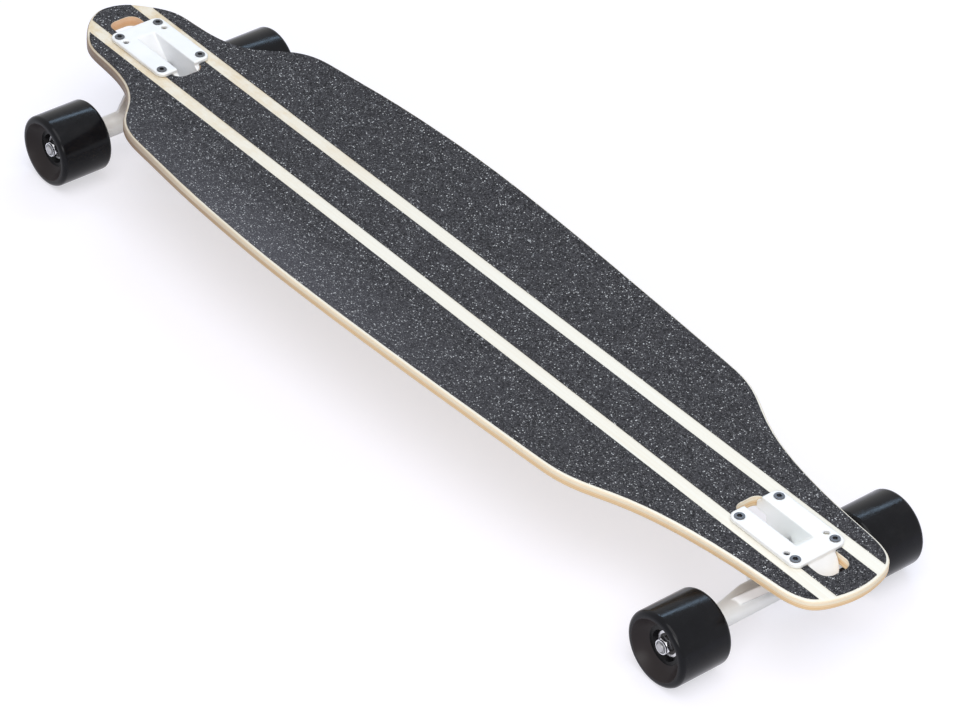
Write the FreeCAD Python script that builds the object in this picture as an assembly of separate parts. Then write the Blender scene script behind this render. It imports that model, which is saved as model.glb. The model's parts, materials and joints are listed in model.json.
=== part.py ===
import FreeCAD, Part
import math
import os

# A drop-through longboard. X runs along the deck from the rounded nose to the blunt tail,
# Y runs across it and Z is up. The origin is on the ground under the middle of the deck.
# A truck is drawn about the centre of its axle as it stands at the tail: X outboard, Z up.
# Its turning pieces are drawn in a frame tilted about the axle, with X along the steering
# axis and Z along the kingpin towards the deck, and are tilted into the truck afterwards.

# Deck
deck_length = 990.0
deck_width = 236.0
deck_thickness = 10.0
deck_edge_radius = 2.4
edge_round_limit_share = 0.3
concave_flat_width = 90.0
concave_radius = 340.0
cutout_length = 108.0
cutout_width = 30.0
cutout_corner_radius = 10.0
cutout_shift = 6.2
# Half outline from nose to tail: share of the half length, share of the half width
deck_outline_shares = (
    (-1.000, 0.000), (-0.984, 0.180), (-0.950, 0.312), (-0.915, 0.398), (-0.870, 0.428),
    (-0.808, 0.455), (-0.762, 0.513), (-0.717, 0.640), (-0.678, 0.787), (-0.640, 0.862),
    (-0.580, 0.901), (-0.460, 0.951), (-0.320, 0.987), (-0.210, 1.000), (-0.080, 0.993),
    (0.100, 0.962), (0.300, 0.914), (0.465, 0.869), (0.510, 0.848), (0.550, 0.797),
    (0.600, 0.697), (0.660, 0.600), (0.740, 0.519), (0.830, 0.463), (0.900, 0.437),
    (0.945, 0.411), (0.974, 0.350), (0.993, 0.200), (1.000, 0.000),
)
outline_spans = 8

# Grip tape in three strips with bare wood between them, the center one in three lengths
grip_thickness = 0.8
grip_edge_inset = 2.7
grip_seam = 0.3
grip_seam_setback = 1.0
center_grip_width = 41.6
stripe_width = 13.7

# Bolts that hold the trucks
bolt_setback = 84.2
bolt_pattern_length = 63.5
bolt_pattern_width = 41.3
spare_hole_step = 9.7
bolt_diameter = 4.8
bolt_hole_diameter = 5.2
screw_head_diameter = 8.8
screw_head_lip = 0.5
screw_head_round = 0.3
screw_socket_width = 4.0
screw_socket_depth = 1.7
screw_end_showing = 1.2
mount_nut_width = 9.4
mount_nut_height = 6.0

# Baseplate, with its inboard leg that carries the pivot
truck_drop = 58.2
axle_setback = 2.8
plate_length = 79.5
plate_width = 55.0
plate_thickness = 3.6
plate_corner_radius = 8.0
plate_edge_radius = 1.0
web_width = 28.0
web_nose = 4.5
web_nose_drop = 3.0
leg_width = 17.0
leg_setback = 7.0
pocket_width = 18.0
seat_wall = 4.0
tongue_reach = 14.0
tongue_height = 8.0
tongue_slope = 14.0
tower_wall = 2.8
tower_floor_wall = 2.4
tower_foot = 17.6

# Steering axis, kingpin and bushings
steer_angle = 45.0
rake = 5.5
ring_reach = 26.0
ring_radius = 15.5
ring_height = 11.0
ring_bore = 15.0
ring_seat_depth = 1.2
bushing_diameter = 24.0
board_bushing_height = 12.0
road_bushing_height = 11.0
bushing_waist = 0.8
bushing_washer_diameter = 25.4
bushing_washer_thickness = 1.2
kingpin_diameter = 9.5
kingpin_head_width = 14.3
kingpin_head_height = 6.0
kingpin_nut_width = 14.3
kingpin_nut_height = 8.0
kingpin_end_showing = 2.5
kingpin_end_chamfer = 0.8

# Hanger and axle
hanger_length = 176.8
hanger_radius = 9.8
hanger_end_chamfer = 0.8
wing_width = 116.0
wing_thickness = 8.0
saddle_width = 62.0
saddle_rise = 5.2
pivot_reach = 18.0
pivot_radius = 4.8
pivot_base_radius = 8.5
pivot_shoulder = 9.0
cup_wall = 2.3
cup_floor = 2.0
axle_diameter = 8.0
axle_end_showing = 1.2
axle_end_chamfer = 0.6

# Wheel
wheel_diameter = 65.0
wheel_width = 51.5
wheel_lip_radius = 4.2
wheel_rim_land = 1.6
core_diameter = 34.0
core_width = 31.5
core_mouth_diameter = 27.0
core_shoulder_diameter = 18.6
bowl_dip_share = 0.34

# Ball bearings, two to a wheel, and what clamps them on the axle
bearing_diameter = 22.0
bearing_width = 7.0
bearing_spacing = 10.0
ball_diameter = 3.9
ball_count = 7
ball_pitch_diameter = 14.9
outer_race_diameter = 18.2
inner_race_diameter = 11.8
shield_thickness = 0.4
shield_setback = 0.2
cage_wall = 2.2
cage_width = 3.8
cage_rim = 0.45
spacer_diameter = 10.4
speed_washer_diameter = 12.0
speed_washer_thickness = 0.8
axle_nut_width = 12.7
axle_nut_height = 5.0
axle_nut_collar_height = 1.5
axle_nut_collar_diameter = 12.3

# Fits
turn_clearance = 1.1
slide_clearance = 0.25
ball_clearance = 0.12
pocket_clearance = 0.25
fit_clearance = 0.05
overrun = 5.0

# Places that follow from the sizes
deck_half_length = deck_length / 2
deck_half_width = deck_width / 2
axle_height = wheel_diameter / 2
plate_bottom = truck_drop
plate_top = plate_bottom + plate_thickness
deck_top = plate_bottom - grip_thickness
deck_bottom = deck_top - deck_thickness
bolt_reach = deck_half_length - bolt_setback
axle_reach = bolt_reach - axle_setback
plate_inner_end = axle_setback - plate_length / 2
plate_outer_end = axle_setback + plate_length / 2

# Heights along the kingpin, from the axle towards the deck
ring_seat_offset = ring_height / 2 - ring_seat_depth
board_bushing_low = rake + ring_seat_offset
board_washer_low = board_bushing_low + board_bushing_height
seat_height = board_washer_low + bushing_washer_thickness
pocket_height = seat_height + seat_wall
road_bushing_low = rake - ring_seat_offset - road_bushing_height
road_washer_low = road_bushing_low - bushing_washer_thickness
kingpin_nut_low = road_washer_low - kingpin_nut_height

# Reaches along the steering axis, from the axle towards the pivot
tower_top_reach = -(hanger_radius + turn_clearance)
cup_bottom_reach = -(pivot_reach + slide_clearance + cup_floor)
tower_bottom_reach = cup_bottom_reach - tower_floor_wall
cup_radius = pivot_radius + slide_clearance + cup_wall
tower_radius = cup_radius + fit_clearance + tower_wall

# Places along the axle
bearing_stack = 2 * bearing_width + bearing_spacing
wheel_reach = hanger_length / 2 + speed_washer_thickness + bearing_stack / 2
bearing_offset = (bearing_spacing + bearing_width) / 2
axle_bore = axle_diameter + 2 * fit_clearance
nut_offset = bearing_stack / 2 + speed_washer_thickness
axle_nut_length = axle_nut_height + axle_nut_collar_height
axle_length = 2 * (wheel_reach + nut_offset + axle_nut_length + axle_end_showing)

Vector = FreeCAD.Vector
ORIGIN = Vector(0, 0, 0)
AXIS_X = Vector(1, 0, 0)
AXIS_Y = Vector(0, 1, 0)
AXIS_Z = Vector(0, 0, 1)
TRUCK_ENDS = (("nose", -1), ("tail", 1))
WHEEL_SIDES = (("left", -1), ("right", 1))


def moved(shape, x=0, y=0, z=0):
    """Return a copy of the shape shifted by x, y and z."""
    copy = shape.copy()
    copy.translate(Vector(x, y, z))
    return copy


def tilted(shape):
    """Turn a shape from the steering frame into the truck's frame."""
    copy = shape.copy()
    copy.rotate(ORIGIN, AXIS_Y, -steer_angle)
    return copy


def tilted_point(reach, height):
    """Turn a point of the steering frame into the truck's frame."""
    angle = math.radians(steer_angle)
    x = reach * math.cos(angle) - height * math.sin(angle)
    z = reach * math.sin(angle) + height * math.cos(angle)
    return Vector(x, 0, z)


def place_truck(shape, end):
    """Put a truck's shape under the nose or the tail."""
    copy = shape.copy()
    if end < 0:
        copy.rotate(ORIGIN, AXIS_Z, 180)
    copy.translate(Vector(end * axle_reach, 0, axle_height))
    return copy


def place_wheel(shape, side):
    """Put a wheel's shape, drawn along Y about its own middle, on one side of the axle."""
    copy = moved(shape, y=wheel_reach)
    if side < 0:
        copy.rotate(ORIGIN, AXIS_Z, 180)
    return copy


def cylinder(diameter, length, start=0, axis=AXIS_Z):
    """Return a round bar that begins at a distance along its axis."""
    return Part.makeCylinder(diameter / 2, length, axis * start, axis)


def tube(outer, inner, length, start=0, axis=AXIS_Z):
    """Return a round bar with a bore."""
    bore = cylinder(inner, length + 2 * overrun, start - overrun, axis)
    return cylinder(outer, length, start, axis).cut(bore)


def hexagon(width, length, start=0, axis=AXIS_Z):
    """Return a six-sided bar of a width across flats."""
    corner = width / math.sqrt(3)
    turns = [math.radians(60 * index) for index in range(7)]
    corners = [Vector(corner * math.cos(turn), corner * math.sin(turn), start) for turn in turns]
    bar = Part.Face(Part.makePolygon(corners)).extrude(AXIS_Z * length)
    if axis == AXIS_Y:
        bar.rotate(ORIGIN, AXIS_X, -90)
    return bar


def hex_nut(width, bore, length, start=0, axis=AXIS_Z):
    """Return a nut whose corners are turned down at both ends."""
    corner = 2 * width / math.sqrt(3)
    slope = (corner - width) / 2
    middle = cylinder(corner, length - 2 * slope, start + slope, axis)
    low = Part.makeCone(width / 2, corner / 2, slope, axis * start, axis)
    high = Part.makeCone(corner / 2, width / 2, slope, axis * (start + length - slope), axis)
    envelope = middle.fuse([low, high])
    hole = cylinder(bore, length + 2 * overrun, start - overrun, axis)
    return hexagon(width, length, start, axis).common(envelope).cut(hole).removeSplitter()


def rounded_block(length, width, height, corner_radius):
    """Return a block centred on Z, with rounded upright edges and its base at zero."""
    block = Part.makeBox(length, width, height, Vector(-length / 2, -width / 2, 0))
    upright = [edge for edge in block.Edges if edge.BoundBox.ZLength > height / 2]
    return block.makeFillet(corner_radius, upright)


def side_prism(points, width):
    """Return a solid with a side view given in X and Z, centred across Y."""
    profile = Part.Face(Part.makePolygon(list(points) + [points[0]]))
    return moved(profile.extrude(AXIS_Y * width), y=-width / 2)


def round_edges(shape, radius, chosen):
    """Round the edges of the shape for which the test holds."""
    return shape.makeFillet(radius, [edge for edge in shape.Edges if chosen(edge)])


def bevel_edges(shape, size, chosen):
    """Bevel the edges of the shape for which the test holds."""
    return shape.makeChamfer(size, [edge for edge in shape.Edges if chosen(edge)])


def bolt_places():
    """Return the four bolt centres of a truck, about the middle of the pattern."""
    xs = (-bolt_pattern_length / 2, bolt_pattern_length / 2)
    ys = (-bolt_pattern_width / 2, bolt_pattern_width / 2)
    return [(x, y) for x in xs for y in ys]


def closed_curve(points):
    """Return the smooth closed curve through points."""
    curve = Part.BSplineCurve()
    curve.interpolate(Points=points, PeriodicFlag=True)
    return curve


def outline_face(inset):
    """Return the deck's outline seen from above, drawn in by the inset."""
    half = []
    for along_share, across_share in deck_outline_shares:
        half.append(Vector(along_share * deck_half_length, across_share * deck_half_width, 0))
    points = half + [Vector(point.x, -point.y, 0) for point in reversed(half[1:-1])]
    outline = closed_curve(points)
    ways = [outline.tangent(outline.parameter(point))[0] for point in points]
    inner = [point + Vector(way.y, -way.x, 0) * inset for point, way in zip(points, ways)]
    outline = closed_curve(inner)
    span = (outline.LastParameter - outline.FirstParameter) / outline_spans
    starts = [outline.FirstParameter + span * index for index in range(outline_spans)]
    return Part.Face(Part.Wire([outline.toShape(start, start + span) for start in starts]))


def dished_slab(low, high):
    """Return a slab as long as the deck between two heights over the deck's top, dished across."""
    flat = concave_flat_width / 2
    reach = math.asin((deck_half_width + overrun - flat) / concave_radius)

    def point(height, angle):
        radius = concave_radius - height
        side = math.copysign(flat, angle)
        return Vector(0, side + radius * math.sin(angle), concave_radius - radius * math.cos(angle))

    def arc(height, start, end):
        middle = (start + end) / 2
        return Part.Arc(point(height, start), point(height, middle), point(height, end)).toShape()

    edges = []
    for height in (low, high):
        edges.append(arc(height, -reach, -0.0))
        edges.append(Part.makeLine(point(height, -0.0), point(height, 0.0)))
        edges.append(arc(height, 0.0, reach))
    for angle in (-reach, reach):
        edges.append(Part.makeLine(point(low, angle), point(high, angle)))
    profile = Part.Face(Part.Wire(Part.__sortEdges__(edges)))
    slab = profile.extrude(AXIS_X * (deck_length + 2 * overrun))
    return moved(slab, x=-deck_half_length - overrun, z=axle_height + deck_top)


def truck_openings():
    """Return the cuts that the trucks and their bolts need in the deck and the grip."""
    low = axle_height + deck_bottom - overrun
    height = deck_thickness + grip_thickness + 2 * overrun
    cuts = []
    for name, end in TRUCK_ENDS:
        slot = rounded_block(cutout_length, cutout_width, height, cutout_corner_radius)
        cuts.append(moved(slot, x=end * (bolt_reach + cutout_shift), z=low))
        for x, y in bolt_places():
            hole = cylinder(bolt_hole_diameter, height)
            cuts.append(moved(hole, end * (bolt_reach + x), y, low))
    return cuts


def upright_prism(face):
    """Return a face of the ground plane drawn up past the top of the deck."""
    return face.extrude(AXIS_Z * (axle_height + deck_top + concave_radius))


def make_deck():
    """The pressed maple deck with its two cutouts and eight bolt holes."""
    slab = dished_slab(-deck_thickness, 0).common(upright_prism(outline_face(0)))
    radius = min(deck_edge_radius, deck_thickness * edge_round_limit_share)
    rounded = round_edges(slab, radius, lambda edge: edge.BoundBox.YLength > fit_clearance)
    return rounded.cut(truck_openings())


def make_grip():
    """The three grip strips, keyed by their place on the deck."""
    sheet = dished_slab(0, grip_thickness).common(upright_prism(outline_face(grip_edge_inset)))
    sheet = sheet.cut(truck_openings())
    half = center_grip_width / 2
    side = half + stripe_width
    strips = {"left": (-deck_half_width, -side), "center": (-half, half), "right": (side, deck_half_width)}
    height = 2 * (axle_height + deck_top)
    pieces = {}
    for name, (low, high) in strips.items():
        band = Part.makeBox(deck_length, high - low, height, Vector(-deck_half_length, low, 0))
        pieces[name] = sheet.common(band)
    seam_reach = axle_reach + plate_inner_end - grip_seam_setback
    for name, end in TRUCK_ENDS:
        seam = Part.makeBox(grip_seam, deck_width, height, Vector(-grip_seam / 2, -deck_half_width, 0))
        pieces["center"] = pieces["center"].cut(moved(seam, end * seam_reach))
    return pieces


def countersink(diameter, shank):
    """Return the square-angled cone between a head and its shank, with its wide end at zero."""
    depth = (diameter - shank) / 2
    return Part.makeCone(shank / 2, diameter / 2, depth, Vector(0, 0, -depth))


def make_mount_screws():
    """Eight countersunk socket screws, whose heads stand a lip over the baseplates."""
    length = plate_top - deck_bottom + mount_nut_height + screw_end_showing
    lip = cylinder(screw_head_diameter, screw_head_lip)
    lip = round_edges(lip, screw_head_round, lambda edge: edge.BoundBox.ZMin > screw_head_lip / 2)
    shank = cylinder(bolt_diameter, length, -length)
    screw = lip.fuse([countersink(screw_head_diameter, bolt_diameter), shank])
    socket_floor = screw_head_lip - screw_socket_depth
    screw = screw.cut(hexagon(screw_socket_width, screw_socket_depth + overrun, socket_floor))
    return at_bolts(screw.removeSplitter(), plate_top)


def make_mount_nuts():
    """Eight nuts under the deck."""
    nut = hex_nut(mount_nut_width, bolt_diameter + 2 * fit_clearance, mount_nut_height)
    return at_bolts(nut, deck_bottom - mount_nut_height)


def at_bolts(shape, height):
    """Return copies of a shape at all eight bolts, at a height over the axles."""
    copies = []
    for name, end in TRUCK_ENDS:
        for x, y in bolt_places():
            copies.append(place_truck(moved(shape, x + axle_setback, y, height), end))
    return Part.makeCompound(copies)


def make_baseplate():
    """The cast baseplate: plate, tongue, slanted kingpin seat, leg and pivot tower in one."""
    plate = rounded_block(plate_length, plate_width, plate_thickness, plate_corner_radius)
    plate = round_edges(plate, plate_edge_radius, lambda edge: edge.BoundBox.ZMin > plate_thickness / 2)
    body = moved(plate, axle_setback, 0, plate_bottom)
    body = body.fuse([make_tongue(), make_leg(), make_tower()])
    cuts = [make_pocket(), make_cup_bore()]
    kingpin_hole = cylinder(kingpin_diameter + 2 * fit_clearance, 2 * pocket_height, -overrun)
    cuts.append(tilted(moved(kingpin_hole, x=ring_reach)))
    spare_x = bolt_pattern_length / 2 - spare_hole_step
    places = bolt_places() + [(spare_x, y) for x, y in bolt_places() if x > 0]
    for x, y in places:
        hole = cylinder(bolt_hole_diameter, plate_thickness + 2 * overrun, plate_bottom - overrun)
        cuts.append(moved(hole, x + axle_setback, y))
    for x, y in bolt_places():
        seat = countersink(screw_head_diameter + 2 * fit_clearance, bolt_hole_diameter)
        cuts.append(moved(seat, x + axle_setback, y, plate_top))
    foot = Part.makeBox(plate_length, plate_width, truck_drop)
    cuts.append(moved(foot, plate_inner_end, -plate_width / 2, -tower_foot - truck_drop))
    return body.cut(cuts).removeSplitter()


def make_tongue():
    """The round-ended tongue that slopes down from the plate through the outboard end of the cutout."""
    reach = plate_outer_end + tongue_reach
    width = web_width - 2 * fit_clearance
    root = plate_bottom - tongue_height
    tip = root - tongue_slope
    block = rounded_block(2 * reach, width, plate_bottom - tip, width / 2 - fit_clearance)
    side = side_prism((
        Vector(0, 0, plate_bottom),
        Vector(plate_outer_end, 0, plate_bottom),
        Vector(reach, 0, plate_bottom - tongue_slope),
        Vector(reach, 0, tip),
        Vector(plate_outer_end, 0, root),
        Vector(0, 0, root),
    ), plate_width)
    return moved(block, z=tip).common(side)


def make_leg():
    """The web under the plate, with a round-cornered nose in the cutout and a leg down to the pivot."""
    angle = math.radians(steer_angle)
    seat_end = (plate_bottom - seat_height * math.cos(angle)) / math.sin(angle)
    nose_end = plate_inner_end - web_nose
    side = side_prism((
        tilted_point(seat_end, seat_height),
        tilted_point(tower_top_reach, seat_height),
        tilted_point(tower_top_reach, rake),
        tilted_point(tower_bottom_reach, rake),
        tilted_point(tower_bottom_reach, rake + tower_radius),
        Vector(plate_inner_end + leg_setback, 0, deck_bottom),
        Vector(nose_end, 0, deck_bottom),
        Vector(nose_end, 0, plate_bottom - web_nose_drop),
        Vector(plate_inner_end, 0, plate_bottom),
    ), plate_width)
    web_low = tilted_point(0, pocket_height).z - seat_wall
    corner_radius = (web_width - pocket_width) / 2
    web = rounded_block(-2 * nose_end, web_width, plate_bottom - web_low, corner_radius)
    leg_corner = Vector(nose_end, -leg_width / 2, -truck_drop)
    leg = Part.makeBox(-2 * nose_end, leg_width, 2 * truck_drop, leg_corner)
    return moved(web, z=web_low).fuse(leg).common(side)


def make_tower():
    """The boss around the pivot cup."""
    length = tower_top_reach - tower_bottom_reach
    return tilted(moved(cylinder(2 * tower_radius, length, tower_bottom_reach, AXIS_X), z=rake))


def make_pocket():
    """The hollow above the kingpin seat, open at the top and at the inboard end."""
    angle = math.radians(steer_angle)
    top = plate_top + overrun
    floor_end = (top - pocket_height * math.cos(angle)) / math.sin(angle)
    low = tilted_point(0, pocket_height)
    inner = plate_inner_end - plate_length
    return side_prism((
        tilted_point(floor_end, pocket_height),
        low,
        Vector(inner, 0, low.z),
        Vector(inner, 0, top),
    ), pocket_width)


def make_cup_bore():
    """The bore of the tower, which the pivot cup is pressed into."""
    length = tower_top_reach - cup_bottom_reach + overrun
    bore = cylinder(2 * (cup_radius + fit_clearance), length, cup_bottom_reach, AXIS_X)
    return tilted(moved(bore, z=rake))


def make_pivot_cup():
    """The plastic cup in which the hanger's pivot turns."""
    length = tower_top_reach - cup_bottom_reach
    blank = cylinder(2 * cup_radius, length, cup_bottom_reach, AXIS_X)
    return tilted(moved(blank.cut(pivot_pin(slide_clearance)), z=rake))


def pivot_pin(extra):
    """The round-nosed pivot on its own axis, grown all round by an extra clearance."""
    radius = pivot_radius + extra
    ball_reach = -(pivot_reach - pivot_radius)
    nose = Part.makeSphere(radius, Vector(ball_reach, 0, 0))
    return nose.fuse(cylinder(2 * radius, -ball_reach, ball_reach, AXIS_X))


def make_kingpin():
    """The kingpin, with its head in the pocket of the baseplate."""
    low = kingpin_nut_low - kingpin_end_showing
    shank = cylinder(kingpin_diameter, pocket_height - low, low)
    tip = low + fit_clearance
    shank = bevel_edges(shank, kingpin_end_chamfer, lambda edge: edge.BoundBox.ZMax < tip)
    head = hexagon(kingpin_head_width, kingpin_head_height, pocket_height)
    return on_kingpin(shank.fuse(head))


def on_kingpin(shape):
    """Put a shape drawn along Z on the kingpin."""
    return tilted(moved(shape, x=ring_reach))


def bushing(height, low):
    """A urethane bushing drawn in at its waist, along Z."""
    radius = bushing_diameter / 2
    bore = kingpin_diameter / 2 + slide_clearance
    high = low + height
    corners = (Vector(radius, 0, high), Vector(bore, 0, high), Vector(bore, 0, low), Vector(radius, 0, low))
    middle = Vector(radius - bushing_waist, 0, low + height / 2)
    waist = Part.Arc(corners[-1], middle, corners[0])
    profile = Part.Face(Part.Wire([waist.toShape()] + Part.makePolygon(corners).Edges))
    return profile.revolve(ORIGIN, AXIS_Z, 360)


def make_bushing_washers():
    """The washers outside the two bushings."""
    bore = kingpin_diameter + 2 * fit_clearance
    washers = []
    for low in (board_washer_low, road_washer_low):
        washers.append(on_kingpin(tube(bushing_washer_diameter, bore, bushing_washer_thickness, low)))
    return Part.makeCompound(washers)


def make_kingpin_nut():
    """The nut that holds the hanger and its bushings on the kingpin."""
    bore = kingpin_diameter + 2 * fit_clearance
    return on_kingpin(hex_nut(kingpin_nut_width, bore, kingpin_nut_height, kingpin_nut_low))


def make_hanger():
    """The cast hanger: axle tube, saddle, wings, bushing ring and pivot in one."""
    half = hanger_length / 2
    bar = cylinder(2 * hanger_radius, hanger_length, -half, AXIS_Y)
    bar = bevel_edges(bar, hanger_end_chamfer, lambda edge: edge.BoundBox.YLength < fit_clearance)
    saddle = cylinder(2 * hanger_radius, saddle_width, -saddle_width / 2, AXIS_Y)
    fill = Part.makeBox(2 * hanger_radius, saddle_width, saddle_rise)
    solids = [moved(saddle, z=saddle_rise), moved(fill, -hanger_radius, -saddle_width / 2)]
    for side in (-1, 1):
        solids.append(hanger_flare(side))
    solids.append(hanger_wing())
    solids.append(moved(cylinder(2 * ring_radius, ring_height, -ring_height / 2), x=ring_reach, z=rake))
    base = Part.makeCone(pivot_base_radius, pivot_radius, pivot_shoulder, ORIGIN, -AXIS_X)
    solids.append(moved(base.fuse(pivot_pin(0)), z=rake))
    body = bar.fuse(solids)
    seat = cylinder(bushing_diameter + 2 * slide_clearance, ring_seat_depth + overrun)
    bore = cylinder(ring_bore, ring_height + 2 * overrun, -ring_height / 2 - overrun)
    cuts = [moved(bore, x=ring_reach, z=rake)]
    cuts.append(moved(seat, x=ring_reach, z=rake + ring_seat_offset))
    cuts.append(moved(seat, x=ring_reach, z=rake - ring_seat_offset - ring_seat_depth - overrun))
    cuts.append(cylinder(axle_bore, hanger_length + 2 * overrun, -half - overrun, AXIS_Y))
    return tilted(body.cut(cuts).removeSplitter())


def hanger_flare(side):
    """The slope from the axle tube up to the saddle on one side."""
    circles = []
    for y, rise in ((wing_width / 2, 0), (saddle_width / 2, saddle_rise)):
        circles.append(Part.Wire(Part.makeCircle(hanger_radius, Vector(0, side * y, rise), AXIS_Y)))
    return Part.makeLoft(circles, True, True)


def hanger_wing():
    """The flat wings that run from the axle tube and meet the ring at a tangent."""
    half = wing_width / 2
    spread = math.hypot(ring_reach, half)
    toward_tip = math.pi - math.atan2(half, ring_reach)
    touch = toward_tip - math.acos(ring_radius / spread)
    x = ring_reach + ring_radius * math.cos(touch)
    y = ring_radius * math.sin(touch)
    low = rake - wing_thickness / 2
    corners = [Vector(0, -half, low), Vector(0, half, low), Vector(x, y, low), Vector(x, -y, low)]
    return Part.Face(Part.makePolygon(corners + corners[:1])).extrude(AXIS_Z * wing_thickness)


def make_axle():
    """The steel axle through the hanger and both wheels."""
    rod = cylinder(axle_diameter, axle_length, -axle_length / 2, AXIS_Y)
    return bevel_edges(rod, axle_end_chamfer, lambda edge: edge.BoundBox.YLength < fit_clearance)


def turned(points_and_arcs):
    """Return a solid of revolution about Y from a closed list of edges in Y and X."""
    return Part.Face(Part.Wire(Part.__sortEdges__(points_and_arcs))).revolve(ORIGIN, AXIS_Y, 360)


def polyline(points):
    """Return the straight edges through points given as distance along Y and radius."""
    return Part.makePolygon([Vector(radius, along, 0) for along, radius in points]).Edges


def arc_through(*points):
    """Return the arc through three points given as distance along Y and radius."""
    return Part.Arc(*[Vector(radius, along, 0) for along, radius in points]).toShape()


def make_tire():
    """The urethane tire, with round lips and a dished face on both sides."""
    half = wheel_width / 2
    radius = wheel_diameter / 2
    lip_center = (half - wheel_lip_radius, radius - wheel_lip_radius)
    lip_half_way = wheel_lip_radius * math.sqrt(0.5)
    lip_middle = (lip_center[0] + lip_half_way, lip_center[1] + lip_half_way)
    land = lip_center[1] - wheel_rim_land
    core_edge = (core_width / 2, core_diameter / 2)
    dip_along = half + (core_edge[0] - half) * (1 - bowl_dip_share)
    dip = (dip_along, (land + core_edge[1]) / 2)
    edges = []
    for side in (-1, 1):
        lip_start = (side * lip_center[0], radius)
        lip_end = (side * half, lip_center[1])
        bowl_start = (side * half, land)
        edges.append(arc_through(lip_start, (side * lip_middle[0], lip_middle[1]), lip_end))
        edges.extend(polyline((lip_end, bowl_start)))
        edges.append(arc_through(bowl_start, (side * dip[0], dip[1]), (side * core_edge[0], core_edge[1])))
    edges.extend(polyline(((-lip_center[0], radius), (lip_center[0], radius))))
    edges.extend(polyline(((-core_edge[0], core_edge[1]), core_edge)))
    return turned(edges)


def make_core():
    """The hub core moulded into the tire, with a seat for a bearing on each side."""
    half = core_width / 2
    outer = core_diameter / 2 - fit_clearance
    seat = bearing_diameter / 2 + fit_clearance
    points = [(-half, outer), (half, outer)]
    steps = (
        (half, core_mouth_diameter / 2), (bearing_stack / 2, seat),
        (bearing_spacing / 2, seat), (bearing_spacing / 2, core_shoulder_diameter / 2),
    )
    points.extend(steps)
    points.extend((-along, radius) for along, radius in reversed(steps))
    points.append(points[0])
    return turned(polyline(points))


def at_bearings(shape):
    """Return copies of a shape in both bearings of a wheel."""
    return [moved(shape, y=side * bearing_offset) for side in (-1, 1)]


def raceway():
    """The ring-shaped groove that the balls run in."""
    radius = ball_diameter / 2 + ball_clearance
    return Part.makeTorus(ball_pitch_diameter / 2, radius, ORIGIN, AXIS_Y)


def bearing_ring(outer, inner):
    """One grooved ring of a bearing."""
    return tube(outer, inner, bearing_width, -bearing_width / 2, AXIS_Y).cut(raceway())


def ball_places():
    """Return the centres of the balls of one bearing."""
    turns = [2 * math.pi * index / ball_count for index in range(ball_count)]
    radius = ball_pitch_diameter / 2
    return [Vector(radius * math.cos(turn), 0, radius * math.sin(turn)) for turn in turns]


def make_bearing_parts():
    """The nodes of one wheel's two bearings, keyed by name."""
    balls = [Part.makeSphere(ball_diameter / 2, place) for place in ball_places()]
    pocket = ball_diameter / 2 + pocket_clearance
    reach = ball_pitch_diameter
    pockets = [Part.makeCylinder(pocket, reach, ORIGIN, place) for place in ball_places()]
    cage_outer = ball_pitch_diameter + cage_wall
    cage_inner = ball_pitch_diameter - cage_wall
    cage = tube(cage_outer, cage_inner, cage_width, pocket + cage_rim - cage_width, AXIS_Y).cut(pockets)
    shield_outer = outer_race_diameter - 2 * fit_clearance
    shield_inner = inner_race_diameter + 2 * slide_clearance
    shield_start = bearing_width / 2 - shield_setback - shield_thickness
    shield = tube(shield_outer, shield_inner, shield_thickness, shield_start, AXIS_Y)
    other_shield = moved(shield, y=-2 * shield_start - shield_thickness)
    return {
        "bearing_outer_rings": at_bearings(bearing_ring(bearing_diameter, outer_race_diameter)),
        "bearing_inner_rings": at_bearings(bearing_ring(inner_race_diameter, axle_bore)),
        "bearing_balls": [ball for one in balls for ball in at_bearings(one)],
        "bearing_cages": at_bearings(cage),
        "bearing_shields": at_bearings(shield) + at_bearings(other_shield),
    }


def make_axle_nut():
    """The lock nut outside a wheel, with its round collar."""
    nut = hex_nut(axle_nut_width, axle_bore, axle_nut_height, nut_offset, AXIS_Y)
    collar_start = nut_offset + axle_nut_height
    collar = tube(axle_nut_collar_diameter, axle_bore, axle_nut_collar_height, collar_start, AXIS_Y)
    return nut.fuse(collar).removeSplitter()


def make_speed_washers():
    """The thin washers on both sides of a wheel's bearings."""
    washers = []
    for start in (-nut_offset, bearing_stack / 2):
        washers.append(tube(speed_washer_diameter, axle_bore, speed_washer_thickness, start, AXIS_Y))
    return washers


def make_bearing_spacer():
    """The sleeve between the inner rings of a wheel's bearings."""
    return tube(spacer_diameter, axle_bore, bearing_spacing, -bearing_spacing / 2, AXIS_Y)


def truck_parts():
    """The nodes of one truck without its wheels, keyed by name."""
    return {
        "baseplate": make_baseplate(),
        "pivot_cup": make_pivot_cup(),
        "kingpin": make_kingpin(),
        "kingpin_nut": make_kingpin_nut(),
        "bushing_board_side": on_kingpin(bushing(board_bushing_height, board_bushing_low)),
        "bushing_road_side": on_kingpin(bushing(road_bushing_height, road_bushing_low)),
        "bushing_washers": make_bushing_washers(),
        "hanger": make_hanger(),
        "axle": make_axle(),
        "axle_nuts": both_sides([make_axle_nut()]),
        "speed_washers": both_sides(make_speed_washers()),
        "bearing_spacers": both_sides([make_bearing_spacer()]),
    }


def both_sides(shapes):
    """Return one group with the shapes at the left and the right wheel."""
    return Part.makeCompound([place_wheel(shape, side) for name, side in WHEEL_SIDES for shape in shapes])


def wheel_parts():
    """The nodes of one wheel, keyed by name, about the wheel's own middle."""
    parts = {"tire": [make_tire()], "core": [make_core()]}
    parts.update(make_bearing_parts())
    return parts


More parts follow.
